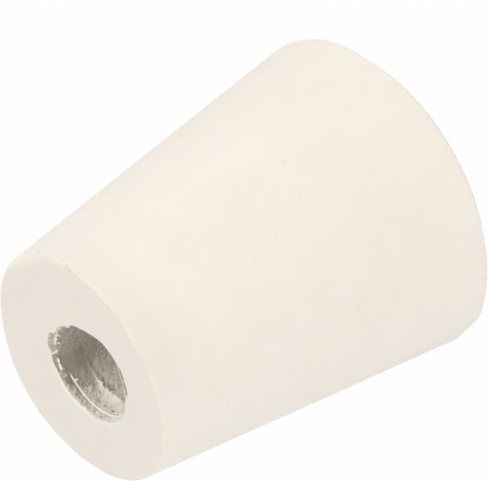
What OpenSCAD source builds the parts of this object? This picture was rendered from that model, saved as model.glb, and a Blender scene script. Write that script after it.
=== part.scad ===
// One-hole rubber stopper: a tapered plug moulded in one piece, with a hole for
// a glass tube drilled along it from the small end. The rubber gave way under
// the drill, so the hole stands off the axis, its mouth is pulled to an oval,
// and two ledges are left on its wall just inside the mouth.
//
// All sizes are in millimetres. The stopper stands on its large end, with the
// middle of that face at the origin and +Z running up to the small end.

/* [Body] */
// Diameter of the large end, taken to its sharp corner
large_d = 24; // [20:0.5:40]
// Diameter of the small end, taken to its sharp corner
small_d = 17; // [14:0.5:20.5]
// Length from the large face to the small face
length = 27; // [12:0.5:60]

/* [Edges] */
// Radius round the edge of the large end
large_edge_r = 0.3; // [0.1:0.1:1.5]
// Radius round the edge of the small end
small_edge_r = 0.3; // [0.1:0.1:1.2]

/* [Hole] */
// Diameter of the hole along most of the stopper
hole_d = 6.8; // [4:0.1:8.4]
// How far the hole stands off the stopper's axis along X
hole_x = 1.15; // [-1:0.05:1.2]
// How far the hole stands off the stopper's axis along Y
hole_y = -0.05; // [-1:0.05:1]

/* [Inner ledge] */
// Depth of the inner ledge below the small face
land_depth = 2.1; // [1.2:0.1:4]
// How much wider, in radius, the hole is above the inner ledge
land_step = 0.2; // [0.05:0.05:0.4]
// Sideways shift along X of the stretch above the inner ledge
land_x = -0.05; // [-0.2:0.05:0.2]
// Sideways shift along Y of the stretch above the inner ledge
land_y = -0.15; // [-0.2:0.05:0.2]

/* [Mouth] */
// Depth of the mouth's ledge below the small face
mouth_depth = 0.75; // [0.3:0.05:1]
// How much wider, in radius, the mouth is than the hole
mouth_step = 0.35; // [0.2:0.05:0.6]
// How much longer the oval mouth is than it is wide
mouth_stretch = 0.6; // [0.1:0.1:1.2]
// Sideways shift of the mouth along X, from the hole's centre
mouth_x = 0.15; // [-0.3:0.05:0.3]
// Sideways shift of the mouth along Y, from the hole's centre
mouth_y = -0.25; // [-0.3:0.05:0.3]
// Width of the bevel round the mouth's lip
lip_bevel = 0.15; // [0.05:0.05:0.25]

/* [Hidden] */
$fn = 96;

// How far a cutter runs past the face that it opens
over = 1;

large_r = large_d / 2;
small_r = small_d / 2;
half_angle = atan((large_r - small_r) / length);
hole_r = hole_d / 2;

// Distance from each sharp corner to where its edge radius starts
large_cut = large_edge_r * tan((90 + half_angle) / 2);
small_cut = small_edge_r * tan((90 - half_angle) / 2);

// Half of the stopper's section, with a true arc on both edges
module body_section() {
    polygon([
        [0, 0],
        [large_r - large_cut, 0],
        [large_r - large_cut * sin(half_angle), large_cut * cos(half_angle)],
        [small_r + small_cut * sin(half_angle), length - small_cut * cos(half_angle)],
        [small_r - small_cut, length],
        [0, length],
    ]);
    translate([large_r - large_cut, large_edge_r]) circle(large_edge_r);
    translate([small_r - small_cut, length - small_edge_r]) circle(small_edge_r);
}

// A cutter with an oval section: a cone or cylinder drawn out along X.
// r_low and r_high are half its width at the bottom and at the top.
module oval_cutter(r_low, r_high, height, stretch) {
    for (side = [-1, 1])
        translate([side * stretch / 2, 0, 0]) cylinder(r1 = r_low, r2 = r_high, h = height);
    rotate([90, 0, 90])
        translate([0, 0, -stretch / 2])
            linear_extrude(stretch)
                polygon([[-r_low, 0], [r_low, 0], [r_high, height], [-r_high, height]]);
}

// The drilled hole with its two ledges and its oval mouth
module hole() {
    mouth_r = hole_r + mouth_step;
    translate([hole_x, hole_y, 0]) {
        translate([0, 0, -over]) cylinder(r = hole_r, h = length + 2 * over);
        translate([land_x, land_y, length - land_depth])
            cylinder(r = hole_r + land_step, h = land_depth + over);
        translate([mouth_x, mouth_y, length - mouth_depth])
            oval_cutter(mouth_r, mouth_r, mouth_depth + over, mouth_stretch);
        translate([mouth_x, mouth_y, length - lip_bevel])
            oval_cutter(mouth_r, mouth_r + lip_bevel + over, lip_bevel + over, mouth_stretch);
    }
}

module stopper() {
    color("antiquewhite")
        difference() {
            rotate_extrude() body_section();
            hole();
        }
}

stopper();
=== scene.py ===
"""Looks, light and camera for a cream rubber stopper with one drilled hole.

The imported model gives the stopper's place and size. This script builds the same
body again as one fine, closed surface, with the torn rubber that the drill left
in the hole, and gives it a procedural rubber finish. Lengths are worked out in
millimetres and turned into metres when a mesh is made.
"""
import logging
import math
from dataclasses import dataclass, field
from enum import Enum

import bpy
import numpy as np
from mathutils import Matrix, Vector


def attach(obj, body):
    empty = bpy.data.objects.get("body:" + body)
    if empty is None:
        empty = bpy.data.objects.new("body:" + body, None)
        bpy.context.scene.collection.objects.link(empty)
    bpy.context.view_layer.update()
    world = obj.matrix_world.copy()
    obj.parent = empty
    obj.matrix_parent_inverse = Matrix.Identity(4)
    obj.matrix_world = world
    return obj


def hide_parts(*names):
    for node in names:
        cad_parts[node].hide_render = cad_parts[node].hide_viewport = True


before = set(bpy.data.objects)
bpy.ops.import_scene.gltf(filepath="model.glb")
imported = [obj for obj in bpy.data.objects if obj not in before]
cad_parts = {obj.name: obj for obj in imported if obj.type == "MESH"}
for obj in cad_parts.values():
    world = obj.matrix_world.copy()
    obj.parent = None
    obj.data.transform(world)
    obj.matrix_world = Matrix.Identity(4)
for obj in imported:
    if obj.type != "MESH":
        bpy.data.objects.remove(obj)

LOG = logging.getLogger("stopper")

MM = 0.001  # metres in a millimetre
BODY = "root"
NODE = "stopper"

LENGTH = 27.0  # from the large face to the small face, in millimetres
FACE_DISH = 0.02  # how far the small face is sunk, in millimetres

Triple = tuple[float, float, float]
Colour = Triple
Socket = bpy.types.NodeSocket


class Mask(Enum):
    """The surface masks that the mesh carries for its material."""

    BORE = "bore"  # 1 on the wall of the hole
    TORN_AND_HIGHLIGHT = "torn_and_highlight"  # 1 where the rubber is freshly torn and pale, with painted highlight on crests and painted light on rolled tongues
    SOIL_AND_SHADE = "soil_and_shade"  # dirt on the wall of the hole, with painted shade where the wall lies in shade; on the skin, 1 where painted shade darkens the side near the small end
    BROWN = "brown"  # 1 where dirt is brown; it also carries painted shadow in the groove, corners and below the ridge, and dirt with painted shade in the nicks
    RIM = "rim"  # 1 round the edge of the small end, a warmer colour with painted shade on its crest


Masks = dict[Mask, np.ndarray]


# ---- Arithmetic on whole arrays ----


def soft_step(low: float | np.ndarray, high: float | np.ndarray, value: float | np.ndarray) -> np.ndarray:
    """Rises from 0 at low to 1 at high along 3t^2 - 2t^3, or falls where high is below low."""
    t = np.clip((value - low) / (high - low), 0.0, 1.0)
    return t * t * (3.0 - 2.0 * t)


def bump(middle: float | np.ndarray, width: float | np.ndarray, value: np.ndarray) -> np.ndarray:
    """A bell curve, exp(-((value - middle) / width)^2)."""
    return np.exp(-(((value - middle) / width) ** 2))


def turn(angle: np.ndarray, start: float) -> np.ndarray:
    """Degrees counted anticlockwise from start, from 0 up to 360."""
    return np.mod(angle - start, 360.0)


def signed(angle: np.ndarray) -> np.ndarray:
    """The same directions as degrees from -180 up to 180."""
    return turn(angle, -180.0) - 180.0


def outward(deg: np.ndarray) -> np.ndarray:
    """Level unit vectors (cos, sin, 0) for directions in degrees."""
    a = np.radians(deg)
    return np.stack([np.cos(a), np.sin(a), np.zeros_like(a)], -1)


def arc_window(angle: np.ndarray, start: float, end: float, soft: float) -> np.ndarray:
    """1 between two directions and 0 outside them.

    The mask climbs over `soft` degrees inside each end, and end may pass 360.

    Args:
        angle: directions in degrees.
        start: where the mask starts, in degrees.
        end: where it ends, anticlockwise of start.
        soft: how many degrees each flank takes.

    Returns:
        The mask, with the shape of angle.
    """
    along = turn(angle, start)
    span = end - start
    return soft_step(0.0, soft, along) * soft_step(span, span - soft, along)


def lattice_noise(deg: np.ndarray, along: float | np.ndarray, cells: int, seed: int) -> np.ndarray:
    """Smooth random heights between -1 and 1 that close up after a full turn.

    Each point blends the four nearest corners of a random lattice with the
    weights 3t^2 - 2t^3. The lattice repeats after `cells` corners round.

    Args:
        deg: directions in degrees.
        along: place along the other direction, one lattice corner per unit.
        cells: corners in one full turn.
        seed: picks the lattice.

    Returns:
        The heights, with the shape of deg and along together.
    """
    rows = 256
    lattice = np.random.default_rng(seed).uniform(-1.0, 1.0, (rows, cells))
    u = np.mod(deg / 360.0, 1.0) * cells
    v = np.asarray(along, float)
    u0, v0 = np.floor(u), np.floor(v)
    fu, fv = u - u0, v - v0
    wu, wv = fu * fu * (3.0 - 2.0 * fu), fv * fv * (3.0 - 2.0 * fv)
    i, j = u0.astype(int) % cells, v0.astype(int) % rows
    i1, j1 = (i + 1) % cells, (j + 1) % rows
    low = lattice[j, i] * (1.0 - wu) + lattice[j, i1] * wu
    high = lattice[j1, i] * (1.0 - wu) + lattice[j1, i1] * wu
    return low * (1.0 - wv) + high * wv


def round_curve(deg: np.ndarray, stops: dict[float, float]) -> np.ndarray:
    """Runs in straight lines round a full turn through stops, each a direction and its height."""
    places = sorted(stops)
    return np.interp(deg, places, [stops[place] for place in places], period=360.0)


# ---- Shader nodes ----


class NodeBench:
    """A node tree with short ways to add nodes and join them."""

    def __init__(self, tree: bpy.types.NodeTree) -> None:
        """Clears the tree and keeps it."""
        self.tree = tree
        tree.nodes.clear()

    def add(self, kind: str, **settings: object) -> bpy.types.Node:
        """Adds a node of a kind and sets the named properties on it."""
        node = self.tree.nodes.new(kind)
        for name, value in settings.items():
            setattr(node, name, value)
        return node

    def feed(self, socket: Socket, source: object) -> None:
        """Gives an input socket a value, or links it to an output."""
        if isinstance(source, Socket):
            self.tree.links.new(source, socket)
        elif isinstance(source, tuple) and len(source) == 3 and socket.type == "RGBA":
            socket.default_value = (*source, 1.0)
        else:
            socket.default_value = source

    def math(self, operation: str, a: object, b: object = 0.0, clamp: bool = False) -> Socket:
        """One Math node on two values or outputs."""
        node = self.add("ShaderNodeMath", operation=operation, use_clamp=clamp)
        self.feed(node.inputs[0], a)
        self.feed(node.inputs[1], b)
        return node.outputs[0]

    def blend(self, share: object, a: object, b: object, mode: str = "MIX") -> Socket:
        """Mixes two colours; share 0 gives a and share 1 gives b."""
        node = self.add("ShaderNodeMix", data_type="RGBA", blend_type=mode)
        self.feed(node.inputs["Factor"], share)
        self.feed(node.inputs[6], a)
        self.feed(node.inputs[7], b)
        return node.outputs[2]

    def spread(self, value: object, low: float, high: float, to_low: float = 0.0,
               to_high: float = 1.0) -> Socket:
        """Maps low..high to to_low..to_high on a smooth step."""
        node = self.add("ShaderNodeMapRange", interpolation_type="SMOOTHSTEP")
        self.feed(node.inputs["Value"], value)
        self.feed(node.inputs["From Min"], low)
        self.feed(node.inputs["From Max"], high)
        self.feed(node.inputs["To Min"], to_low)
        self.feed(node.inputs["To Max"], to_high)
        return node.outputs["Result"]

    def noise(self, place: Socket, size_mm: float, detail: float = 2.0,
              roughness: float = 0.5) -> Socket:
        """A noise value from 0 to 1 whose lumps are size_mm across."""
        node = self.add("ShaderNodeTexNoise", noise_dimensions="3D")
        self.feed(node.inputs["Vector"], place)
        self.feed(node.inputs["Scale"], 1.0 / (size_mm * MM))
        self.feed(node.inputs["Detail"], detail)
        self.feed(node.inputs["Roughness"], roughness)
        return node.outputs["Fac"]

    def mask(self, mask: Mask) -> Socket:
        """Reads one of the mesh's masks."""
        node = self.add("ShaderNodeAttribute", attribute_type="GEOMETRY", attribute_name=mask.value)
        return node.outputs["Fac"]

    def drawn_out(self, place: Socket, turned: Triple, share: float) -> Socket:
        """Object coordinates turned by angles in degrees, then scaled by share along their new Z."""
        turner = self.add("ShaderNodeMapping", vector_type="POINT")
        self.feed(turner.inputs["Vector"], place)
        turner.inputs["Rotation"].default_value = [math.radians(x) for x in turned]
        node = self.add("ShaderNodeMapping", vector_type="POINT")
        self.feed(node.inputs["Vector"], turner.outputs["Vector"])
        node.inputs["Scale"].default_value = (1.0, 1.0, share)
        return node.outputs["Vector"]


# ---- Finishes ----


@dataclass(frozen=True)
class CreamRubber:
    """Cream laboratory rubber: matte and smooth from the mould, dull and dirty where it was drilled, with
    shade and highlights painted into the hole and shade painted near the small end.

    Fields that end in _mm are in millimetres and the others are colours, shares
    from 0 to 1 or the shader's own values.
    """

    name: str = "cream_rubber"
    # the moulded skin, with faint clouds, a warmer small edge with painted shade on its crest, and painted
    # shade that darkens the side near the small end
    cream: Colour = (0.893, 0.824, 0.735)
    pale_cream: Colour = (0.902, 0.842, 0.760)
    cloud_mm: float = 4.0
    # rim_cream is warmer and darker than the skin: warm colour, and painted shade on the crest
    rim_cream: Colour = (0.785, 0.700, 0.581)
    rim_patch_mm: float = 1.3
    rim_thinnest: float = 0.55
    # painted shade: the colour that darkens the side near the small end
    painted_shade: Colour = (0.869, 0.800, 0.722)
    # dark specks: the largest at given places, the rest in the cells of a loose pattern
    speck: Colour = (0.46, 0.36, 0.26)
    speck_mm: float = 0.13
    speck_cell_mm: float = 1.9
    bare_cells: float = 0.55
    speck_strength: float = 0.16
    # share of dirt and painted shade in the nicks
    nick_dirt_and_shade: float = 0.5
    # the drilled wall; streak is how far its pattern is squeezed along the turned axis
    # torn: pale torn rubber, also used as painted highlight on crests and painted light on rolled tongues
    torn_and_highlight: Colour = (0.940, 0.895, 0.800)
    wall_light: Colour = (0.875, 0.835, 0.755)
    # wall_dark and wall_brown: dirt together with painted shade
    wall_dark: Colour = (0.345, 0.307, 0.24)
    wall_brown: Colour = (0.25, 0.19, 0.115)
    mottle_mm: float = 0.21
    mottle_share: float = 1.2
    grit_mm: float = 0.09
    grit_share: float = 0.9
    streak: float = 0.30
    scored: Triple = (-40.0, -28.5, 0.0)
    # roughness, and what the wall adds to it
    grain_mm: float = 0.11
    smoothest: float = 0.41
    roughest: float = 0.53
    wall_roughness: float = 0.3
    # shine, and light that passes within the rubber, of which the dirty wall loses a share
    ior: float = 1.5
    specular: float = 0.4
    lit_within: float = 0.4
    lost_in_wall: float = 0.35
    reach: Triple = (1.0, 0.88, 0.72)
    reach_mm: float = 0.6
    sheen: float = 0.10
    sheen_roughness: float = 0.5
    # fine relief
    pore_mm: float = 0.5
    grain_height: float = 0.5
    score_height: float = 2.5
    relief_strength: float = 0.35
    relief_mm: float = 0.02

    def material(self, specks: list[Triple]) -> bpy.types.Material:
        """Builds the finish as nodes.

        Args:
            specks: where the largest dark specks lie, in millimetres.

        Returns:
            The material, which reads the mesh's masks and Object coordinates.
        """
        made = bpy.data.materials.new(self.name)
        made.use_nodes = True
        bench = NodeBench(made.node_tree)
        place = bench.add("ShaderNodeTexCoord").outputs["Object"]
        masks = {mask: bench.mask(mask) for mask in Mask}

        skin = self.skin_colour(bench, place, masks, specks)
        wall, mottle = self.wall_colour(bench, place, masks)
        colour = bench.blend(masks[Mask.BORE], skin, wall)
        # pale torn rubber, with painted highlight on crests and painted light on rolled tongues
        torn_and_highlight = bench.math("MULTIPLY", masks[Mask.TORN_AND_HIGHLIGHT], 1.0, clamp=True)
        colour = bench.blend(torn_and_highlight, colour, self.torn_and_highlight)

        shader = bench.add("ShaderNodeBsdfPrincipled")
        bench.feed(shader.inputs["Base Color"], colour)
        grain = bench.noise(place, self.grain_mm, 3.0, 0.6)
        rough = bench.spread(grain, 0.25, 0.75, self.smoothest, self.roughest)
        wall_rough = bench.math("MULTIPLY", masks[Mask.BORE], self.wall_roughness)
        bench.feed(shader.inputs["Roughness"], bench.math("ADD", rough, wall_rough, clamp=True))
        bench.feed(shader.inputs["Normal"], self.relief(bench, place, grain, mottle, masks))
        lost = bench.math("MULTIPLY", masks[Mask.BORE], self.lost_in_wall, clamp=True)
        bench.feed(shader.inputs["Subsurface Weight"], bench.math("SUBTRACT", self.lit_within, lost))
        shader.inputs["Subsurface Radius"].default_value = self.reach
        shader.inputs["Subsurface Scale"].default_value = self.reach_mm * MM
        shader.inputs["IOR"].default_value = self.ior
        shader.inputs["Specular IOR Level"].default_value = self.specular
        shader.inputs["Sheen Weight"].default_value = self.sheen
        shader.inputs["Sheen Roughness"].default_value = self.sheen_roughness
        out = bench.add("ShaderNodeOutputMaterial")
        bench.feed(out.inputs["Surface"], shader.outputs["BSDF"])
        return made

    def skin_colour(self, bench: NodeBench, place: Socket, masks: dict[Mask, Socket],
                    specks: list[Triple]) -> Socket:
        """Cream with faint clouds, painted shade near the small end, a warmer small edge with painted shade
        on its crest, and a few dark specks, with dirt and painted shade in the nicks.

        Args:
            bench: the material's nodes.
            place: Object coordinates.
            masks: the mesh's masks.
            specks: where the largest specks lie, in millimetres.

        Returns:
            The colour output.
        """
        cloud = bench.spread(bench.noise(place, self.cloud_mm, 3.0, 0.55), 0.3, 0.7)
        colour = bench.blend(cloud, self.cream, self.pale_cream)
        # painted shade, darker on the side near the small end
        painted_shade = bench.math("MULTIPLY", masks[Mask.SOIL_AND_SHADE], 1.0, clamp=True)
        colour = bench.blend(painted_shade, colour, self.painted_shade)
        # a warmer edge with painted shade on its crest
        patchy = bench.spread(bench.noise(place, self.rim_patch_mm), 0.34, 0.62, self.rim_thinnest, 1.0)
        rim = bench.math("MULTIPLY", masks[Mask.RIM], patchy)
        colour = bench.blend(rim, colour, self.rim_cream)
        dots = self.loose_specks(bench, place)
        for speck in specks:
            away = bench.add("ShaderNodeVectorMath", operation="DISTANCE")
            bench.feed(away.inputs[0], place)
            away.inputs[1].default_value = [x * MM for x in speck]
            dot = bench.spread(away.outputs["Value"], self.speck_mm * MM, 0.3 * self.speck_mm * MM)
            dots = bench.math("MAXIMUM", dots, dot)
        dark = bench.math("MULTIPLY", dots, self.speck_strength)
        # dirt and painted shade in the nicks
        in_nicks = bench.math("MULTIPLY", masks[Mask.BROWN], self.nick_dirt_and_shade)
        dark = bench.math("ADD", dark, in_nicks, clamp=True)
        return bench.blend(dark, colour, self.speck)

    def loose_specks(self, bench: NodeBench, place: Socket) -> Socket:
        """Small round specks in some cells of a random pattern, as a mask."""
        cells = bench.add("ShaderNodeTexVoronoi", feature="F1", voronoi_dimensions="3D")
        bench.feed(cells.inputs["Vector"], place)
        cells.inputs["Scale"].default_value = 1.0 / (self.speck_cell_mm * MM)
        chance = bench.add("ShaderNodeSeparateColor")
        bench.feed(chance.inputs["Color"], cells.outputs["Color"])
        speckled = bench.math("GREATER_THAN", chance.outputs["Red"], self.bare_cells)
        return bench.math("MULTIPLY", bench.spread(cells.outputs["Distance"], 0.06, 0.02), speckled)

    def wall_colour(self, bench: NodeBench, place: Socket,
                    masks: dict[Mask, Socket]) -> tuple[Socket, Socket]:
        """Grey-brown dirt with painted shade on the drilled wall, mottled in streaks that run aslant round
        the hole.

        The darkness is the dirt-and-shade mask less an unevenness whose mean is 0 and
        which grows where the wall is cleaner and lighter.

        Args:
            bench: the material's nodes.
            place: Object coordinates.
            masks: the mesh's masks.

        Returns:
            The colour output, and the mottle from 0 to 1.
        """
        mottle = bench.noise(bench.drawn_out(place, self.scored, self.streak), self.mottle_mm, 3.0, 0.65)
        grit = bench.noise(place, self.grit_mm, 2.0, 0.6)
        uneven = bench.math("ADD", bench.math("MULTIPLY", mottle, self.mottle_share),
                            bench.math("MULTIPLY", grit, self.grit_share))
        uneven = bench.math("SUBTRACT", uneven, (self.mottle_share + self.grit_share) / 2)
        # dirt and painted shade: darker where the wall lies in shade
        clean_and_lit = bench.math("SUBTRACT", 1.0, masks[Mask.SOIL_AND_SHADE])
        strength = bench.math("ADD", bench.math("MULTIPLY", clean_and_lit, 1.2), 0.5)
        dirt_and_shade = bench.math("SUBTRACT", masks[Mask.SOIL_AND_SHADE], bench.math("MULTIPLY", uneven, strength), clamp=True)
        colour = bench.blend(dirt_and_shade, self.wall_light, self.wall_dark)
        # brown dirt, with painted shadow in the groove, the corner and below the ridge
        brown = bench.math("MULTIPLY", masks[Mask.BROWN], bench.spread(mottle, 0.62, 0.38, 0.35, 1.0))
        return bench.blend(brown, colour, self.wall_brown), mottle

    def relief(self, bench: NodeBench, place: Socket, grain: Socket, mottle: Socket,
               masks: dict[Mask, Socket]) -> Socket:
        """A fine grain and pores all over, with the drilled wall's scores on top.

        Args:
            bench: the material's nodes.
            place: Object coordinates.
            grain: the fine noise.
            mottle: the wall's noise.
            masks: the mesh's masks.

        Returns:
            The normal output.
        """
        pores = bench.spread(bench.noise(place, self.pore_mm), 0.36, 0.28)
        height = bench.math("SUBTRACT", bench.math("MULTIPLY", grain, self.grain_height),
                            bench.math("MULTIPLY", pores, self.grain_height))
        scores = bench.math("MULTIPLY", mottle, bench.math("MULTIPLY", masks[Mask.BORE], self.score_height))
        node = bench.add("ShaderNodeBump")
        bench.feed(node.inputs["Height"], bench.math("ADD", height, scores))
        node.inputs["Strength"].default_value = self.relief_strength
        node.inputs["Distance"].default_value = self.relief_mm * MM
        return node.outputs["Normal"]


# ---- The stopper ----


@dataclass
class Grid:
    """Rings of points stacked in rows, with one point of each ring in every column."""

    columns: int
    rows: list[np.ndarray] = field(default_factory=list)

    @property
    def angle(self) -> np.ndarray:
        """The direction of each column, in radians."""
        return np.arange(self.columns) * (2.0 * math.pi / self.columns)

    @property
    def count(self) -> int:
        """How many rings there are so far."""
        return sum(len(rows) for rows in self.rows)

    def ring(self, centre: tuple[float, float], radius: float | np.ndarray,
             height: float | np.ndarray) -> np.ndarray:
        """One ring of points: centre + radius * (cos, sin), at a height."""
        a = self.angle
        shape = np.ones(self.columns)
        return np.stack([centre[0] + radius * np.cos(a), centre[1] + radius * np.sin(a), height * shape], -1)

    def run(self, first: np.ndarray, last: np.ndarray, count: int, ease: float = 1.0) -> None:
        """Adds rings that lead from one ring up to, but not onto, the next.

        Each is first + t * (last - first), where t is (row / count) ** ease.

        Args:
            first: the ring that the run starts on.
            last: the ring that it leads to.
            count: how many rings to add.
            ease: over 1 packs the rings near the first, under 1 near the last.
        """
        t = (np.arange(count) / count) ** ease
        self.rows.append(first + t[:, None, None] * (last - first))

    def points(self) -> np.ndarray:
        """All rings, as rows x columns x 3."""
        return np.concatenate(self.rows)


@dataclass(frozen=True)
class Bend:
    """A ring where the wall's section bends, with the rows up to the next one and their packing."""

    ring: np.ndarray
    rows: int = 2
    ease: float = 1.0


@dataclass(frozen=True)
class Crumb:
    """A scrap of torn rubber that still hangs on the wall of the hole.

    angle and wide are in degrees round the hole, depth and tall in millimetres
    down it, proud is how far the scrap stands off the wall, and lean is how far
    it slants as it runs down, in millimetres across for each millimetre.
    """

    angle: float
    depth: float
    wide: float
    tall: float
    proud: float
    lean: float = 0.0

    def shape(self, deg: np.ndarray, depth: np.ndarray, radius: float) -> np.ndarray:
        """A blunt bump, exp(-(x^4 + y^4)), whose middle line leans on a wall of some radius."""
        slant = math.degrees(self.lean / radius) * (depth - self.depth)
        across = signed(deg - self.angle - slant)
        return np.exp(-((across / self.wide) ** 4 + ((depth - self.depth) / self.tall) ** 4))


@dataclass(frozen=True)
class Pit(Crumb):
    """A hole torn in the wall, painted dark as its shade, given as a crumb is; proud is its depth."""


@dataclass(frozen=True)
class Nick:
    """A small dent in the edge of the small end, with the rubber it pushed up beside it.

    angle is in degrees round the axis and place in millimetres from the edge's
    sharp corner, over 0 down the side and below 0 in over the face. long runs
    across the edge and wide along it, both in millimetres. deep is the depth of
    the dent, and where it is below 0 the nick is a scrap that stands up.
    """

    angle: float
    place: float
    long: float
    wide: float
    deep: float

    def shape(self, deg: np.ndarray, place: np.ndarray, radius: float) -> np.ndarray:
        """A bell, less one of half its height and 1.8 times its width that raises the rim round it."""
        across = signed(deg - self.angle) * math.radians(radius)
        reach = (across / self.wide) ** 2 + ((place - self.place) / self.long) ** 2
        return np.exp(-reach) - 0.5 * np.exp(-reach / 3.2)


CREST_BEND = 3  # which bend of the hole's wall is the crest of the lip


@dataclass
class DrilledHole:
    """The hole, drilled off the middle, with its torn mouth, in millimetres and degrees.

    Directions are counted round the hole's own centre, and depths run down from
    the small face. The mouth is widest, then comes the land down to the inner
    ledge, and then the hole itself.
    """

    length: float = LENGTH
    face_dish: float = FACE_DISH
    centre: tuple[float, float] = (1.15, -0.05)
    radius: float = 3.4
    land_centre: tuple[float, float] = (1.10, -0.20)
    land_r: float = 3.6
    land_depth: float = 2.05
    mouth_centre: tuple[float, float] = (1.25, -0.20)
    mouth_r: float = 3.87
    mouth_depth: float = 0.77
    seen_depth: float = 5.0  # rows lie close down to here
    exit_bevel: float = 0.12  # round the hole's end in the large face
    score_slant: float = 16.92  # degrees that the drill's scores turn in each millimetre down

    crumbs: tuple[Crumb, ...] = (
        Crumb(-160.4, 0.93, 1.6, 0.15, 0.17),
        Crumb(-144.5, 2.15, 1.4, 0.05, 0.07),
        Crumb(-141.0, 2.20, 1.2, 0.10, 0.20),
        Crumb(-131.5, 2.16, 1.4, 0.06, 0.08),
        Crumb(-124.0, 2.27, 0.8, 0.12, 0.13, 0.3),
        Crumb(-119.0, 2.14, 1.2, 0.07, 0.10),
        Crumb(-113.5, 2.12, 1.5, 0.06, 0.08),
        Crumb(137.2, 0.52, 1.6, 0.17, 0.16, 0.6),
        Crumb(150.2, 0.56, 1.6, 0.13, 0.14, 0.5),
        Crumb(143.0, 0.40, 1.8, 0.06, 0.08),
        Crumb(160.2, 0.24, 1.3, 0.22, 0.12, -0.5),
        Crumb(171.0, 0.30, 2.8, 0.07, 0.12),
        Crumb(179.0, 0.28, 4.2, 0.07, 0.13, -0.4),
        Crumb(98.0, 0.26, 6.5, 0.10, 0.30),
        Crumb(107.0, 0.30, 3.0, 0.09, 0.16),
        Crumb(-118.0, 0.52, 1.6, 0.07, 0.06),
        Crumb(-137.5, 1.95, 2.5, 0.05, 0.06),
        Crumb(-100.0, 0.50, 1.5, 0.05, 0.05),
    )
    pits: tuple[Pit, ...] = (
        Pit(-105.0, 2.18, 2.4, 0.06, 0.06),
        Pit(-120.5, 2.24, 1.2, 0.06, 0.06),
        Pit(-137.8, 2.20, 1.0, 0.05, 0.04),
        Pit(-118.0, 3.03, 0.9, 0.08, 0.04),
        Pit(-112.0, 2.66, 0.9, 0.06, 0.04),
        Pit(-124.7, 1.66, 0.8, 0.05, 0.05),
        Pit(-119.0, 1.26, 1.0, 0.07, 0.05),
        Pit(-103.5, 1.14, 1.6, 0.05, 0.04),
        Pit(-114.0, 0.62, 1.3, 0.06, 0.05),
        Pit(-114.0, 0.38, 2.2, 0.07, 0.05),
        Pit(-102.5, 0.55, 1.2, 0.04, 0.04),
        Pit(-99.5, 0.60, 1.6, 0.03, 0.04, 1.5),
        Pit(-100.5, 0.32, 1.4, 0.04, 0.04),
        Pit(-90.0, 0.62, 1.2, 0.05, 0.04),
        Pit(-96.0, 0.30, 1.0, 0.03, 0.03),
        Pit(-94.0, 0.98, 4.5, 0.03, 0.03),
        Pit(-160.0, 1.16, 1.6, 0.12, 0.03),
        Pit(-150.0, 1.28, 2.2, 0.07, 0.03),
        Pit(-121.0, 0.45, 1.0, 0.12, 0.03),
        Pit(140.5, 0.50, 1.2, 0.07, 0.05),
        Pit(145.5, 0.52, 1.4, 0.06, 0.05),
    )

    def exit_ring(self, grid: Grid) -> np.ndarray:
        """The edge of the hole in the large face, outside its bevel."""
        return grid.ring(self.centre, self.radius + self.exit_bevel, 0.0)

    def mouth_outline(self, deg: np.ndarray) -> np.ndarray:
        """Radius of the mouth's lip.

        It is a mean radius with three slow waves, a chip out of the lip on one
        side, stretches that are pressed in or out, and a fine raggedness.
        """
        a = np.radians(deg)
        waves = 0.034 * np.cos(a) - 0.093 * np.sin(a) + 0.146 * np.cos(2 * a) + 0.026 * np.sin(2 * a)
        waves = waves - 0.012 * np.cos(3 * a) + 0.070 * np.sin(3 * a)
        chip = 0.33 * arc_window(deg, 127.0, 158.0, 8.0)
        pressed = 0.15 * arc_window(deg, 34.0, 84.0, 20.0) - 0.08 * arc_window(deg, 100.0, 124.0, 7.0)
        pressed = pressed + 0.14 * arc_window(deg, -88.0, 14.0, 16.0)
        pressed = pressed - 0.14 * arc_window(deg, 172.0, 236.0, 26.0)
        pressed = pressed + 0.10 * arc_window(deg, -58.0, -28.0, 7.0)
        ragged = 0.018 * lattice_noise(deg, 0.5, 64, 11) + 0.012 * lattice_noise(deg, 7.5, 150, 12)
        return self.mouth_r + waves + chip - pressed + ragged

    def split(self, deg: np.ndarray) -> np.ndarray:
        """1 where a sliver of the lip is torn loose from the face."""
        return arc_window(deg, -31.0, 10.0, 6.0) * (0.85 + 0.15 * lattice_noise(deg, 5.5, 70, 29))

    def mouth_floor(self, deg: np.ndarray) -> np.ndarray:
        """Depth at which the mouth's band ends: an even ledge, but shallow and ragged where the wall tore."""
        even = self.mouth_depth * round_curve(deg, {
            -169: 1.0, -110: 1.0, -60: 0.94, 60: 0.90, 85: 0.62, 105: 0.44, 128: 0.42, 138: 0.42, 150: 0.39,
            179: 0.38})
        fine = 0.012 * lattice_noise(deg, 4.5, 40, 23) + 0.008 * lattice_noise(deg, 9.5, 190, 22)
        ragged = 0.045 * lattice_noise(deg, 3.5, 84, 21) + 0.025 * lattice_noise(deg, 2.5, 190, 22)
        return even + fine + arc_window(deg, 80.0, 186.0, 8.0) * ragged

    def shelf_floor(self, deg: np.ndarray) -> np.ndarray:
        """Depth of the inner ledge's edge, which slants a little and is uneven."""
        slant = round_curve(deg, {
            -175: 0.09, -150: 0.06, -126: 0.03, -110: -0.04, -98: -0.1, -30: -0.1, 10: 0.0})
        fine = 0.014 * lattice_noise(deg, 5.5, 44, 24) + 0.012 * lattice_noise(deg, 8.5, 170, 25)
        return self.land_depth + slant + fine

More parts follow.
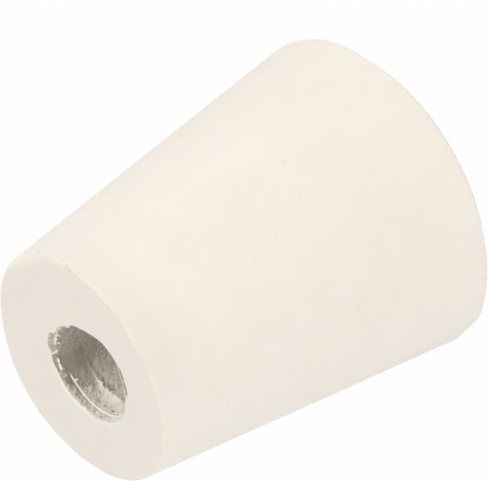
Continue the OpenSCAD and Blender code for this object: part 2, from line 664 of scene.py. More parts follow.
    def wall_bends(self, grid: Grid) -> list[Bend]:
        """The rings that the hole's wall is drawn between, from the face to the far end.

        On the side where the drill cut clean the mouth ends in a square ledge
        with a thin burr, and the inner ledge is sharp. On the other side the
        mouth is a torn bevel and the wall runs smoothly on below it.

        Args:
            grid: gives the columns' directions.

        Returns:
            The bends in order. The one at CREST_BEND is the crest of the lip.
        """
        deg = np.degrees(grid.angle)
        cut = round_curve(deg, {-173: 0.0, -169: 1.0, -112: 1.0, -88: 0.35, 50: 0.3, 66: 0.0, 187: 0.0})
        flare = 0.8 * arc_window(deg, -112.0, -26.0, 22.0)
        crisp = 1.0 - arc_window(deg, 50.0, 186.0, 18.0)
        lip = self.mouth_outline(deg)
        split = self.split(deg)
        ledge = self.mouth_floor(deg)
        shelf = self.shelf_floor(deg)
        wide = arc_window(deg, -150.0, -30.0, 22.0)
        lean = arc_window(deg, -116.0, -24.0, 18.0)
        roll = arc_window(deg, -142.0, -84.0, 16.0)
        worn = arc_window(deg, 166.0, 246.0, 22.0)
        ragged = 0.03 * wide * (1.0 + lattice_noise(deg, 3.5, 90, 26))
        pinched = 0.24 * arc_window(deg, 140.0, 228.0, 26.0)
        ramp = 0.06 + ragged + 1.3 * (1.0 - crisp)

        def at(centre: tuple[float, float], radius: np.ndarray, depth: np.ndarray | float) -> np.ndarray:
            """A ring at a depth below the small face."""
            return grid.ring(centre, radius, self.length - depth)

        mouth, land, hole = self.mouth_centre, self.land_centre, self.centre
        tip = 0.005 + 0.48 * split + 0.06 * flare + 0.02 * worn
        lip_foot = lip - 0.01 - 0.23 * split - 0.06 * flare - 0.06 * worn
        return [
            Bend(at(mouth, lip + 0.34 + 0.2 * flare, self.face_dish), 4),
            Bend(at(mouth, lip + 0.07 + 0.12 * flare + 0.10 * split + 0.05 * worn, 0.03 * flare)),
            Bend(at(mouth, lip + 0.04 + 0.03 * split + 0.06 * flare, tip)),
            Bend(at(mouth, lip + 0.01 - 0.11 * split - 0.03 * worn, 0.005 + 0.11 * flare + 0.07 * worn)),
            Bend(at(mouth, lip_foot, 0.04 + 0.01 * split + 0.18 * flare + 0.14 * worn), 12),
            Bend(at(land, self.land_r + 0.04 + 0.07 * cut, ledge - 0.04)),
            Bend(at(land, self.land_r + 0.03 + 0.06 * cut, ledge + 0.01)),
            Bend(at(land, self.land_r + 0.01 - 0.04 * cut, ledge - 0.01 * cut)),
            Bend(at(land, self.land_r - 0.02 * cut, ledge + 0.07)),
            Bend(at(land, self.land_r + 0.06 * lean, ledge + 0.16), 24),
            Bend(at(land, self.land_r - 0.76 * pinched - 0.22 * lean, shelf - 0.36), 12),
            Bend(at(land, self.land_r - pinched - 0.06 * roll - 0.30 * lean, shelf - 0.03)),
            Bend(at(hole, self.radius + 0.03, shelf + 0.01 + 0.2 * (ramp - 0.06))),
            Bend(at(hole, self.radius - 0.02, shelf + ramp)),
            Bend(at(hole, self.radius, shelf + ramp + 0.1), 44),
            Bend(at(hole, self.radius, self.seen_depth), 22, 1.25),
            Bend(at(hole, self.radius, self.length - self.exit_bevel)),
        ]

    def pressed_rings(self, points: np.ndarray) -> np.ndarray:
        """Height of two faint ridges that the drill's collar pressed up in the face beside the mouth."""
        across = points[..., :2] - np.array(self.mouth_centre)
        away = np.hypot(across[..., 0], across[..., 1])
        deg = np.degrees(np.arctan2(across[..., 1], across[..., 0]))
        ridges = bump(4.50, 0.09, away) + 0.8 * bump(4.72, 0.07, away) - 0.5 * bump(4.28, 0.12, away)
        return 0.015 * ridges * arc_window(deg, -64.0, -18.0, 16.0)

    def torn_inside(self, points: np.ndarray, lip_row: int) -> tuple[np.ndarray, Masks]:
        """Scores and tears the wall of the hole.

        Relief stands inwards off the wall: scores that run aslant down the hole,
        lumps on the side where the drill dragged, the crumbs, and the pits sunk
        in between them.

        Args:
            points: the rows from the foot of the lip to the hole's far end.
            lip_row: which of them is the crest of the lip.

        Returns:
            The moved points, and the masks of these rows.
        """
        depth = self.length - points[..., 2]
        out = points - np.array([*self.centre, 0.0])
        deg = np.degrees(np.arctan2(out[..., 1], out[..., 0]))
        past_lip, crest, groove = self.lip_marks(deg, lip_row)

        aslant = deg + self.score_slant * depth
        score = lattice_noise(aslant, depth / 0.7, 210, 31)
        lump = lattice_noise(aslant, depth / 0.42, 130, 32)
        grit = lattice_noise(deg, depth / 0.10, 240, 33)
        dragged = 0.18 + 0.82 * arc_window(deg, -172.0, 30.0, 30.0)
        wall = past_lip * soft_step(0.03, 0.10, depth)
        relief = wall * (0.012 * score + dragged * (0.026 * lump + 0.016 * grit))
        scraps = np.zeros_like(depth)
        for crumb in self.crumbs:
            shape = crumb.shape(deg, depth, self.land_r) * past_lip
            relief = relief + crumb.proud * shape
            scraps = np.maximum(scraps, soft_step(0.25, 0.6, shape))
        # pits are sunk in the wall and painted dark as their shade
        holes = np.zeros_like(depth)
        for pit in self.pits:
            shape = pit.shape(deg, depth, self.land_r) * past_lip
            relief = relief - pit.proud * shape
            holes = np.maximum(holes, shape)

        clean_lip = arc_window(deg, 60.0, 129.0, 5.0)
        starts = clean_lip * (self.mouth_floor(deg) - 0.12 + 0.3 * arc_window(deg, 110.0, 129.0, 6.0))
        bore = past_lip * soft_step(starts - 0.04, starts + 0.03, depth)
        uneven = dragged * (0.34 * lump + 0.24 * grit) + 0.08 * score
        bevel = arc_window(deg, -104.0, -30.0, 10.0) * soft_step(0.34, 0.18, depth) * past_lip
        pale = np.maximum(self.torn_edges_and_highlights(deg, depth), scraps) * past_lip
        pale = np.maximum(pale, bevel * (0.8 - 0.3 * grit)) * (1.0 - groove)
        # the crest is torn rubber, painted pale as a highlight
        pale = np.maximum(pale, crest * (1.0 - 0.75 * arc_window(deg, -112.0, -30.0, 14.0)))
        # dirt with painted shade, darker in the pits; the groove behind the sliver is painted dark as its
        # shadow
        soil_and_shade = np.clip(self.soil_and_shade(deg, depth) - uneven + 0.9 * holes, -0.4, 1.0)
        masks = {
            Mask.BORE: np.maximum(bore, groove),
            Mask.TORN_AND_HIGHLIGHT: np.clip(pale, 0.0, 1.0),
            Mask.SOIL_AND_SHADE: soil_and_shade * bore + 1.1 * groove,
            Mask.BROWN: np.maximum(self.brown(deg, depth) * bore, groove),
            Mask.RIM: np.zeros_like(depth),
        }
        return points - outward(deg) * relief[..., None], masks

    def lip_marks(self, deg: np.ndarray, lip_row: int) -> tuple[np.ndarray, np.ndarray, np.ndarray]:
        """Marks the rows of the lip.

        Args:
            deg: directions round the hole, rows x columns.
            lip_row: which row is the crest of the lip.

        Returns:
            1 on the rows past the lip, 1 on its crest, painted pale as a highlight,
            and 1 in the groove behind the sliver that is split off it, painted dark as its shadow.
        """
        past_lip, crest, groove = np.zeros_like(deg), np.zeros_like(deg), np.zeros_like(deg)
        past_lip[lip_row + 1:] = 1.0
        crest[lip_row - 2:lip_row + 1] = 1.0
        behind = slice(lip_row - 3, lip_row + 1)
        groove[behind] = self.split(deg[behind])
        crest = crest * (1.0 - groove)
        sliver = slice(lip_row + 1, lip_row + 3)
        crest[sliver] = self.split(deg[sliver])
        return past_lip, crest, groove

    def torn_edges_and_highlights(self, deg: np.ndarray, depth: np.ndarray) -> np.ndarray:
        """Pale torn rubber along the mouth's edge and, in tongues, along the inner ledge, where the ledge's
        edge is a painted highlight and the tongues are painted light.

        The burr and the broken ridge follow the mouth's floor, and a thin line and
        the rolled tongues above it follow the inner ledge. The palest of the four
        counts.
        """
        floor = self.mouth_floor(deg)
        spread = arc_window(deg, -110.0, -50.0, 26.0)
        burr = (0.95 - 0.35 * spread) * arc_window(deg, -172.5, -60.0, 5.0)
        burr = burr * bump(floor, 0.035 + 0.12 * spread, depth)
        whole = round_curve(deg, {
            125: 0.0, 129: 0.9, 149: 1.0, 152: 0.25, 157: 0.2, 159: 0.9, 162: 0.9, 163.5: 0.0, 168: 0.0,
            169.5: 1.0, 173: 1.0, 173.8: 0.1, 174.6: 1.0, 182: 0.9, 184: 0.0})
        ridge = whole * bump(floor, 0.065, depth)
        shelf = self.shelf_floor(deg)
        # painted highlight: a thin pale line along the inner ledge's edge
        crest = round_curve(deg, {
            -178: 0.0, -170: 0.25, -150: 0.45, -144: 0.8, -108: 0.9, -101: 0.5, -92: 0.0})
        line = crest * bump(shelf - 0.01, 0.035, depth)
        # painted light: pale rolled tongues above the inner ledge, where light falls
        tongue = 0.5 + 0.5 * lattice_noise(deg, 6.5, 40, 27)
        top = shelf - 0.12 - (0.2 + 0.35 * soft_step(-140.0, -108.0, deg)) * tongue
        roll = soft_step(top - 0.08, top + 0.05, depth) * soft_step(shelf + 0.05, shelf, depth)
        strong = round_curve(deg, {-148: 0.0, -142: 0.3, -135: 0.6, -112: 0.8, -98: 0.8, -84: 0.0})
        streaks = 0.5 + 0.5 * lattice_noise(deg + self.score_slant * depth, depth / 0.3, 120, 30)
        patchy = 0.15 + 0.85 * soft_step(0.35, 0.65, streaks)
        return np.maximum.reduce([burr, ridge, line, strong * patchy * roll])

    def soil_and_shade(self, deg: np.ndarray, depth: np.ndarray) -> np.ndarray:
        """How dark the wall is painted, with dirt and painted shade: 1 is darkest, 0 is clean and below 0 is
        bare and lighter still.

        The back of the hole, which lies in shade, is darkest, its flank is half as dark and the
        side that the drill dragged, where light falls, is painted bare. The mouth's band is lighter.
        Below the inner ledge some dirt is caught on the dragged side, and the
        wall gets lighter with depth. Dark bands under the mouth's ledge, a line of painted shade
        in the corner above the burr, painted shade in the corner above the ridge and a painted
        shadow just below the ridge are added.
        """
        # once round: the near side, the flank, the back in shade, the lit side that the drill dragged and the
        # near side again, as dirt with painted shade
        side = turn(deg, 0.0)
        dark = 0.3 + 0.3 * soft_step(110.0, 125.0, side) + 0.45 * soft_step(140.0, 185.0, side)
        dark = dark - 1.3 * soft_step(180.0, 265.0, side) + 0.55 * soft_step(320.0, 360.0, side)
        # the lighter band of the mouth, and its lip where the drill left it clean
        mouth_band = soft_step(0.7, 0.45, depth)
        dark = dark - 0.4 * mouth_band * arc_window(deg, 172.0, 260.0, 20.0)
        dark = dark - (dark + 0.2) * mouth_band * arc_window(deg, 60.0, 130.0, 5.0)
        # below the inner ledge, and then lighter in two steps
        deeper = soft_step(2.35, 2.75, depth)
        caught = 0.4 * (1.0 - deeper) * arc_window(deg, -160.0, -95.0, 20.0)
        dark = dark + soft_step(2.1, 2.25, depth) * (caught - 0.2 * dark)
        dark = dark - deeper * (0.1 + 0.25 * arc_window(deg, 175.0, 230.0, 20.0))
        dark = dark * (1.0 - 0.45 * soft_step(2.9, 3.8, depth))
        # two dark bands and a pale patch on the dragged side of the land
        dark = dark + 0.2 * bump(1.15, 0.18, depth) * arc_window(deg, -140.0, -108.0, 10.0)
        dark = dark + 0.62 * bump(1.14, 0.15, depth) * arc_window(deg, -114.0, -84.0, 10.0)
        dark = dark - 0.25 * bump(1.65, 0.2, depth) * arc_window(deg, -140.0, -120.0, 8.0)
        # painted shade in the corner above the burr and above the ridge beside it, and a painted shadow below
        # the ridge
        floor = self.mouth_floor(deg)
        corner = bump(floor - 0.09, 0.05, depth) * arc_window(deg, -186.0, -95.0, 12.0)
        wedge = corner * arc_window(deg, -184.0, -158.0, 7.0)
        heap = bump(floor - 0.10, 0.07, depth) * arc_window(deg, 132.0, 184.0, 8.0)
        light = soft_step(0.35, 0.05, depth) * arc_window(deg, 164.0, 250.0, 20.0)
        dark = dark + 0.35 * corner + 0.35 * wedge + 0.18 * heap - 0.1 * light
        return dark + 0.5 * self.below_ridge(deg, depth)

    def below_ridge(self, deg: np.ndarray, depth: np.ndarray) -> np.ndarray:
        """A short painted shadow just below the ridge beside the burr."""
        return bump(self.mouth_floor(deg) + 0.15, 0.07, depth) * arc_window(deg, 164.0, 190.0, 7.0)

    def brown(self, deg: np.ndarray, depth: np.ndarray) -> np.ndarray:
        """Brown dirt above the burr, darkest with painted shade in the corner where the burr begins, and the
        painted shadow below the ridge.
        """
        floor = self.mouth_floor(deg)
        flecks = soft_step(-0.1, 0.7, lattice_noise(deg, depth / 0.11, 150, 34))
        band = soft_step(floor, floor - 0.1, depth) * soft_step(0.12, 0.4, depth)
        band = band * arc_window(deg, -176.0, -95.0, 16.0) * (0.35 + 0.4 * flecks)
        band = band + 0.35 * soft_step(floor, floor - 0.1, depth) * arc_window(deg, -182.0, -140.0, 12.0)
        corner = bump(floor - 0.13, 0.11, depth) * arc_window(deg, -184.0, -154.0, 8.0)
        return np.clip(band + 0.9 * corner + 0.5 * self.below_ridge(deg, depth), 0.0, 1.0)


@dataclass
class Stopper:
    """The moulded plug with its drilled hole, in millimetres and degrees.

    Directions are counted round the plug's own axis. Place, in the methods, is
    the distance from the small end's sharp corner, over 0 down the side and
    below 0 in over the face.
    """

    large_d: float = 24.0
    small_d: float = 17.0
    length: float = LENGTH
    large_edge_r: float = 0.3
    small_edge_r: float = 0.3
    face_dish: float = FACE_DISH
    columns: int = 384
    large_face_rows: int = 7
    large_edge_rows: int = 6
    side_rows: int = 34
    top_band: float = 1.8  # the top of the side, where rows lie close for the nicks
    top_rows: int = 20
    small_edge_rows: int = 14
    face_rows: int = 36
    dirt_and_shade_per_mm: float = 14.0  # how soon a dent darkens with dirt and painted shade as it gets deeper
    hole: DrilledHole = field(default_factory=DrilledHole)

    nicks: tuple[Nick, ...] = (
        Nick(88.3, 0.56, 0.17, 0.21, 0.17),
        Nick(86.9, 0.76, 0.12, 0.17, 0.08),
        Nick(86.0, 0.40, 0.12, 0.17, 0.08),
        Nick(90.6, 0.78, 0.13, 0.17, -0.08),
        Nick(89.9, 0.34, 0.13, 0.17, -0.08),
        Nick(95.0, -0.30, 0.15, 0.22, 0.10),
        Nick(81.0, 0.05, 0.12, 0.17, 0.05),
        Nick(76.0, -0.30, 0.12, 0.17, 0.04),
        Nick(63.2, 0.15, 0.15, 0.19, 0.11),
        Nick(60.4, -0.05, 0.13, 0.18, 0.11),
        Nick(55.4, 0.20, 0.14, 0.18, 0.11),
        Nick(58.3, -0.50, 0.12, 0.17, 0.06),
        Nick(43.0, 0.05, 0.14, 0.18, 0.10),
        Nick(38.0, -0.18, 0.14, 0.20, 0.09),
        Nick(33.4, -0.26, 0.15, 0.20, 0.08),
        Nick(57.6, -2.35, 0.17, 0.20, 0.09),
        Nick(-43.8, 0.02, 0.12, 0.12, 0.08),
        Nick(-36.2, 0.90, 0.14, 0.14, 0.03),
        Nick(-62.0, -0.16, 0.10, 0.20, 0.05),
        Nick(-68.4, -0.20, 0.10, 0.22, 0.05),
    )

    def build(self) -> bpy.types.Object:
        """Makes the mesh, dresses it and ties it to the frame.

        Returns:
            The finished piece.
        """
        points, masks = self.surface()
        piece = closed_mesh("stopper_body", points * MM, masks)
        piece.data.materials.append(CreamRubber().material(self.specks()))
        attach(piece, BODY)
        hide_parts(NODE)
        return piece

    # -- sizes that follow from the ones above

    @property
    def taper(self) -> float:
        """Angle between the side and the axis, in radians."""
        return math.atan((self.large_d - self.small_d) / 2.0 / self.length)

    @property
    def large_cut(self) -> float:
        """From the large end's sharp corner to where its edge radius starts."""
        return self.large_edge_r * math.tan((math.pi / 2 + self.taper) / 2)

    def small_cut(self, radius: np.ndarray) -> np.ndarray:
        """From the small end's sharp corner to where an edge radius starts."""
        return radius * math.tan((math.pi / 2 - self.taper) / 2)

    def edge_radius(self, deg: np.ndarray) -> np.ndarray:
        """Radius of the small end's edge: crisp on one side and worn round on the other."""
        worn = round_curve(deg, {
            -75: 0.0, -86: 0.2, -100: 0.32, -115: 0.5, -134: 0.5, -155: 0.32, -178: 0.45, 165: 0.76,
            150: 0.78, 138: 0.65, 122: 0.40, 113: 0.50, 105: 0.74, 97: 0.92, 89: 0.82, 80: 0.46, 72: 0.14,
            64: 0.0})
        crisp = 0.16 * arc_window(deg, -90.0, 85.0, 20.0)
        return self.small_edge_r + worn - crisp

    def foot_wear(self, deg: np.ndarray) -> np.ndarray:
        """How far the large edge stands in from a true circle; below 0 it stands out."""
        return round_curve(deg, {
            -72: 0.0, -63: 0.08, -58: 0.0, -51: -0.12, -44: 0.0, -34: 0.1, -16: 0.16, -4: 0.06, 14: 0.0,
            26: -0.05, 42: -0.03, 49: 0.06, 61: 0.14, 70: 0.0, 82: -0.05, 87: 0.0})

    def on_side(self, angle: float, height: float) -> Triple:
        """The point of the side at a direction in degrees and a height."""
        radius = self.large_d / 2 - height * math.tan(self.taper)
        return (radius * math.cos(math.radians(angle)), radius * math.sin(math.radians(angle)), height)

    def specks(self) -> list[Triple]:
        """Where the largest dark specks lie in the side, in millimetres."""
        places = ((-30, 25.0), (-37, 23.5), (-33, 21.8), (-20, 23.0), (-31, 15.4), (-45, 13.9), (22, 14.5),
                  (29, 11.5), (44, 10.6), (66, 9.0), (43, 6.5), (12, 19.0), (-19, 11.0), (160, 17.0))
        return [self.on_side(*place) for place in places]

    # -- the surface

    def surface(self) -> tuple[np.ndarray, Masks]:
        """The whole skin as one grid that closes both round the axis and round the section.

        It runs out over the large face, up the side, in over the small face and
        down the hole.

        Returns:
            The points in millimetres, rows x columns x 3, and the masks.
        """
        grid = Grid(self.columns)
        wall = self.hole.wall_bends(grid)
        exit_ring = self.hole.exit_ring(grid)
        self.large_face(grid, exit_ring)
        self.side(grid)
        face_row = grid.count
        self.small_face(grid, wall[0].ring)
        hole_row = grid.count
        ends = [bend.ring for bend in wall[1:]] + [exit_ring]
        for bend, end in zip(wall, ends):
            grid.run(bend.ring, end, bend.rows, bend.ease)
        lip_row = sum(bend.rows for bend in wall[:CREST_BEND])
        points = grid.points()
        points[hole_row - 1:] = smoothed(points[hole_row - 1:])
        outside, marks = self.worn_outside(points[:hole_row], face_row)
        inside, stains = self.hole.torn_inside(points[hole_row:], lip_row)
        masks = {mask: np.concatenate([marks[mask], stains[mask]]) for mask in Mask}
        return np.concatenate([outside, inside]), masks

    def large_face(self, grid: Grid, inner: np.ndarray) -> None:
        """The flat large face, from the hole's far end out to the edge radius."""
        flat_r = self.large_d / 2 - self.large_cut
        outer = grid.ring((0.0, 0.0), flat_r, 0.0)
        grid.run(inner, outer, self.large_face_rows)

    def side(self, grid: Grid) -> None:
        """The two edge radii with the taper between them.

        An edge is the arc middle + r * (cos a, sin a), where a runs to or from
        the direction that stands square to the side.
        """
        large_mid = (self.large_d / 2 - self.large_cut, self.large_edge_r)
        edge = self.edge_radius(np.degrees(grid.angle))
        small_mid = (self.small_d / 2 - self.small_cut(edge), self.length - edge)

        def on_arc(mid: tuple[np.ndarray | float, np.ndarray | float], r: np.ndarray | float,
                   a: float) -> np.ndarray:
            """The ring at one angle of an edge's arc."""
            return grid.ring((0.0, 0.0), mid[0] + r * math.cos(a), mid[1] + r * math.sin(a))

        for a in np.linspace(-math.pi / 2, self.taper, self.large_edge_rows, endpoint=False):
            grid.rows.append(on_arc(large_mid, self.large_edge_r, a)[None])
        foot = on_arc(large_mid, self.large_edge_r, self.taper)
        top = on_arc(small_mid, edge, self.taper)
        below_top = top + (foot - top) * (self.top_band / self.length)
        grid.run(foot, below_top, self.side_rows)
        grid.run(below_top, top, self.top_rows)
        for a in np.linspace(self.taper, math.pi / 2, self.small_edge_rows, endpoint=False):
            grid.rows.append(on_arc(small_mid, edge, a)[None])

    def small_face(self, grid: Grid, inner: np.ndarray) -> None:
        """The small face, from the edge radius in to the foot of the hole's lip.

        Each ring is outer + t * (inner - outer), sunk by face_dish * s where s is
        a smooth step over the first sixth of the way.
        """
        edge = self.edge_radius(np.degrees(grid.angle))
        outer = grid.ring((0.0, 0.0), self.small_d / 2 - self.small_cut(edge), self.length)
        t = (np.arange(self.face_rows) / self.face_rows)[:, None, None]
        rings = outer + t * (inner - outer)
        rings[..., 2] = self.length - self.face_dish * soft_step(0.0, 0.17, t[..., 0])
        grid.rows.append(rings)

    def worn_outside(self, points: np.ndarray, face_row: int) -> tuple[np.ndarray, Masks]:
        """Makes the moulded skin uneven and wears both ends.

        The skin sinks by up to 0.02 mm in slow waves. The large edge is worn out
        of true, the small end swells on one side, and its edge is chewed and
        nicked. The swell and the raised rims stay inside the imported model's box.

        Args:
            points: the rows from the hole's far end to the mouth.
            face_row: the row where the small face starts.

        Returns:
            The moved points, and the masks of these rows.
        """
        deg = np.degrees(np.arctan2(points[..., 1], points[..., 0]))
        height = points[..., 2]
        radius = np.hypot(points[..., 0], points[..., 1])
        side_r = self.large_d / 2 - height * math.tan(self.taper)
        near_side = soft_step(0.72, 0.97, radius / side_r)
        wave = 0.5 + 0.5 * lattice_noise(deg, height / 5.0, 9, 41)
        swell = 0.14 * arc_window(deg, -38.0, 98.0, 30.0) * soft_step(24.6, 26.8, height)
        sunk = near_side * (0.02 * wave + self.foot_wear(deg) * soft_step(3.2, 0.3, height) - swell)
        place = (self.length - height) / math.cos(self.taper) - (side_r - radius)
        chewed = lattice_noise(deg, place / 0.35, 120, 43) * bump(0.1, 0.4, place)
        sunk = sunk + 0.03 * chewed * arc_window(deg, -66.0, 112.0, 20.0)
        # nicks darken with dirt and painted shade as they deepen
        dirt_and_shade = np.zeros_like(sunk)
        for nick in self.nicks:
            dent = nick.deep * nick.shape(deg, place, self.small_d / 2)
            sunk = sunk + dent
            dirt_and_shade = np.maximum(dirt_and_shade, np.clip(self.dirt_and_shade_per_mm * dent - 0.1, 0.0, 1.0))
        made = points - outward(deg) * sunk[..., None]
        made[face_row:, :, 2] += self.hole.pressed_rings(points[face_row:])
        none = np.zeros_like(sunk)
        # the side near the small end gets painted shade, and the edge a warmer colour with painted shade on
        # its crest
        masks = {Mask.BORE: none, Mask.TORN_AND_HIGHLIGHT: none, Mask.SOIL_AND_SHADE: self.painted_shade_band(deg, place), Mask.BROWN: dirt_and_shade,
                 Mask.RIM: self.warm_rim_and_shade(deg, place)}
        return made, masks

    def warm_rim_and_shade(self, deg: np.ndarray, place: np.ndarray) -> np.ndarray:
        """The warmer colour of the small edge, a broad faint band, with two fine lines in it that paint shade
        over the crest's highlight.
        """
        band = 0.12 * bump(0.36, 0.42, place) * arc_window(deg, -22.0, 104.0, 50.0)
        # two fine lines of painted shade that dim the crest's highlight
        line = 0.42 * bump(0.0, 0.16, place) * arc_window(deg, -84.0, 104.0, 34.0)
        core = 0.45 * bump(0.04, 0.09, place) * arc_window(deg, 8.0, 96.0, 24.0)
        return band + line + core

    def painted_shade_band(self, deg: np.ndarray, place: np.ndarray) -> np.ndarray:
        """Painted shade that darkens the side below the small edge."""
        return soft_step(5.5, 0.3, place) * soft_step(0.0, 0.3, place) * arc_window(deg, -40.0, 112.0, 45.0)


def smoothed(points: np.ndarray) -> np.ndarray:
    """Each row but the end ones becomes a quarter of both its neighbours and half of itself."""
    made = points.copy()
    made[1:-1] = 0.25 * points[:-2] + 0.5 * points[1:-1] + 0.25 * points[2:]
    return made


def set_down(name: str, data: bpy.types.ID) -> bpy.types.Object:
    """Makes an object of some data and links it to the scene."""
    made = bpy.data.objects.new(name, data)
    bpy.context.scene.collection.objects.link(made)
    return made


def closed_mesh(name: str, points: np.ndarray, masks: Masks) -> bpy.types.Object:
    """Turns a grid that closes both ways into a smooth mesh object.

    Every face joins point (i, j) to (i, j + 1), (i + 1, j + 1) and (i + 1, j),
    where i and j wrap round.

    Args:
        name: the object's name.
        points: rows x columns x 3, in metres.
        masks: values for each point.

    Returns:
        The object, linked to the scene.
    """
    rows, columns = points.shape[:2]
    index = np.arange(rows * columns).reshape(rows, columns)
    right, down = np.roll(index, -1, 1), np.roll(index, -1, 0)
    corner = np.roll(down, -1, 1)
    faces = np.stack([index, right, corner, down], -1).reshape(-1, 4)
    mesh = bpy.data.meshes.new(name)
    mesh.vertices.add(rows * columns)
    mesh.vertices.foreach_set("co", points.astype(np.float32).ravel())
    mesh.loops.add(faces.size)
    mesh.loops.foreach_set("vertex_index", faces.astype(np.int32).ravel())
    mesh.polygons.add(len(faces))
    mesh.polygons.foreach_set("loop_start", np.arange(0, faces.size, 4, dtype=np.int32))
    mesh.polygons.foreach_set("use_smooth", np.ones(len(faces), bool))
    for mask, values in masks.items():
        layer = mesh.attributes.new(mask.value, "FLOAT", "POINT")
        layer.data.foreach_set("value", values.astype(np.float32).ravel())
    mesh.update()
    mesh.validate()
    return set_down(name, mesh)


# ---- Studio ----


def bearing(azimuth: float, elevation: float) -> Vector:
    """The unit vector towards an azimuth and an elevation in degrees."""
    a, e = math.radians(azimuth), math.radians(elevation)
    return Vector((math.cos(a) * math.cos(e), math.sin(a) * math.cos(e), math.sin(e)))


@dataclass(frozen=True)
class Viewpoint:
    """Where the camera stands, in millimetres and degrees about the point it looks at.

    The lens is in millimetres too, and near and far, between which the camera
    sees, are in metres.
    """

    aim: Triple = (0.67, 1.95, 11.46)
    distance: float = 258.5
    azimuth: float = 17.11
    elevation: float = 30.73
    roll: float = 121.07
    lens: float = 278.4
    near: float = 0.01
    far: float = 10.0

    def build(self) -> bpy.types.Object:
        """Makes the camera and sets it as the scene's.

        Returns:
            The camera object.
        """
        r = math.radians(self.roll)
        back = bearing(self.azimuth, self.elevation)
        level = bearing(self.azimuth + 90.0, 0.0)
        up = math.cos(r) * back.cross(level) + math.sin(r) * level
        right = up.cross(back)
        data = bpy.data.cameras.new("camera")
        data.lens = self.lens
        data.clip_start, data.clip_end = self.near, self.far
        camera = set_down("camera", data)
        turned = Matrix((right, up, back)).transposed().to_4x4()
        camera.matrix_world = Matrix.Translation((Vector(self.aim) + back * self.distance) * MM) @ turned
        bpy.context.scene.camera = camera
        return camera


@dataclass(frozen=True)
class SoftLamp:
    """A large square lamp that the camera doesn't see, aimed at the stopper.

    A square of side s and radiance L has the power pi * L * s^2, and from the
    distance d it gives a face turned to it the light L * s^2 / d^2, counted so
    that a white face under light 1 renders as 1. So the power is
    light * pi^2 * d^2 once the lamp's own unit is allowed for. Its distance and
    size are in metres.
    """

    name: str
    light: float
    azimuth: float
    elevation: float
    colour: Colour = (1.0, 1.0, 1.0)
    distance: float = 0.5
    size: float = 0.5
    aim_height: float = 0.013

    def build(self) -> bpy.types.Object:
        """Makes the lamp.

        Returns:
            The lamp object.
        """
        data = bpy.data.lights.new(self.name, "AREA")
        data.shape = "SQUARE"
        data.size = self.size
        data.color = self.colour
        data.energy = self.light * math.pi ** 2 * self.distance ** 2
        lamp = set_down(self.name, data)
        way = bearing(self.azimuth, self.elevation)
        lamp.location = way * self.distance + Vector((0.0, 0.0, self.aim_height))
        lamp.rotation_mode = "QUATERNION"
        lamp.rotation_quaternion = way.to_track_quat("Z", "Y")
        lamp.visible_camera = False
        return lamp


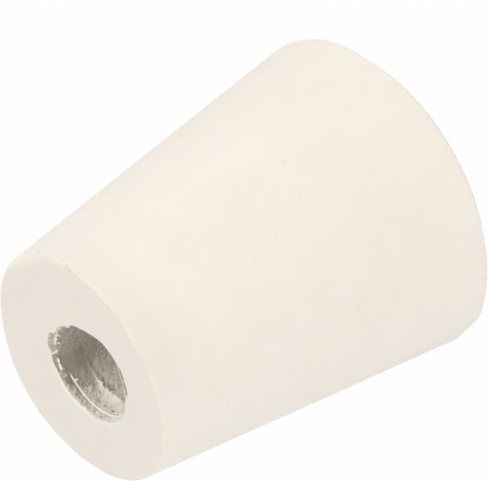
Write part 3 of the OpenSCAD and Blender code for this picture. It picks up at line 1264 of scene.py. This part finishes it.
@dataclass(frozen=True)
class Studio:
    """A white room: a soft sky, two large lamps and a pale floor.

    The floor's size is in metres and its gap below the stopper in millimetres.
    """

    horizon: Colour = (1.085, 1.106, 1.130)
    zenith: Colour = (0.490, 0.458, 0.443)
    lamps: tuple[SoftLamp, ...] = (SoftLamp("key", 0.42, 58.5, 45.0, (0.96, 1.0, 1.0)),
                                   SoftLamp("fill", 0.32, -70.0, 5.0, (0.90, 0.97, 1.0)))
    floor_size: float = 4.0
    floor_albedo: float = 0.9
    floor_shadow: float = 0.05
    floor_gap: float = 0.02

    def build(self) -> None:
        """Makes the sky, the lamps and the floor."""
        scene = bpy.context.scene
        scene.view_settings.view_transform = "Standard"
        self.sky(scene)
        for lamp in self.lamps:
            lamp.build()
        self.floor()

    def sky(self, scene: bpy.types.Scene) -> None:
        """White to the camera, and for light a soft fall from the horizon to the zenith."""
        world = bpy.data.worlds.new("studio")
        scene.world = world
        world.use_nodes = True
        bench = NodeBench(world.node_tree)
        way = bench.add("ShaderNodeSeparateXYZ")
        bench.feed(way.inputs[0], bench.add("ShaderNodeTexCoord").outputs["Generated"])
        level = bench.blend(bench.spread(way.outputs["Z"], 0.0, 0.9), self.horizon, self.zenith)
        path = bench.add("ShaderNodeLightPath")
        seen = bench.math("ADD", path.outputs["Is Camera Ray"], path.outputs["Is Glossy Ray"])
        seen = bench.math("ADD", seen, path.outputs["Is Transmission Ray"], clamp=True)
        light = bench.add("ShaderNodeBackground")
        bench.feed(light.inputs["Color"], level)
        white = bench.add("ShaderNodeBackground")
        mixed = bench.add("ShaderNodeMixShader")
        bench.feed(white.inputs["Color"], (1.0, 1.0, 1.0))
        bench.feed(mixed.inputs[0], seen)
        bench.feed(mixed.inputs[1], light.outputs[0])
        bench.feed(mixed.inputs[2], white.outputs[0])
        bench.feed(bench.add("ShaderNodeOutputWorld").inputs["Surface"], mixed.outputs[0])

    def floor(self) -> None:
        """A pale plane, nearly white to the camera but for the shadow.

        It lies a hair under the stopper, so that the two never share a plane.
        """
        half, low = self.floor_size / 2, -self.floor_gap * MM
        corners = [(-half, -half, low), (half, -half, low), (half, half, low), (-half, half, low)]
        mesh = bpy.data.meshes.new("floor")
        mesh.from_pydata(corners, [], [(0, 1, 2, 3)])
        floor = set_down("floor", mesh)
        made = bpy.data.materials.new("pale_floor")
        made.use_nodes = True
        bench = NodeBench(made.node_tree)
        matte = bench.add("ShaderNodeBsdfDiffuse")
        bench.feed(matte.inputs["Color"], (self.floor_albedo,) * 3)
        glow = bench.add("ShaderNodeEmission")
        bench.feed(glow.inputs["Color"], (1.0, 1.0, 1.0))
        path = bench.add("ShaderNodeLightPath")
        seen = bench.math("MULTIPLY", path.outputs["Is Camera Ray"], 1.0 - self.floor_shadow)
        mixed = bench.add("ShaderNodeMixShader")
        bench.feed(mixed.inputs[0], seen)
        bench.feed(mixed.inputs[1], matte.outputs[0])
        bench.feed(mixed.inputs[2], glow.outputs[0])
        bench.feed(bench.add("ShaderNodeOutputMaterial").inputs["Surface"], mixed.outputs[0])
        mesh.materials.append(made)


def main() -> None:
    """Builds the camera, the studio and the stopper, and logs the stopper's points and faces."""
    logging.basicConfig(level=logging.INFO, format="%(name)s: %(message)s")
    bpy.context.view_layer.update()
    Viewpoint().build()
    Studio().build()
    piece = Stopper().build()
    LOG.info("%s: %d points, %d faces", piece.name, len(piece.data.vertices), len(piece.data.polygons))
    bpy.context.view_layer.update()


if __name__ == "__main__":
    main()
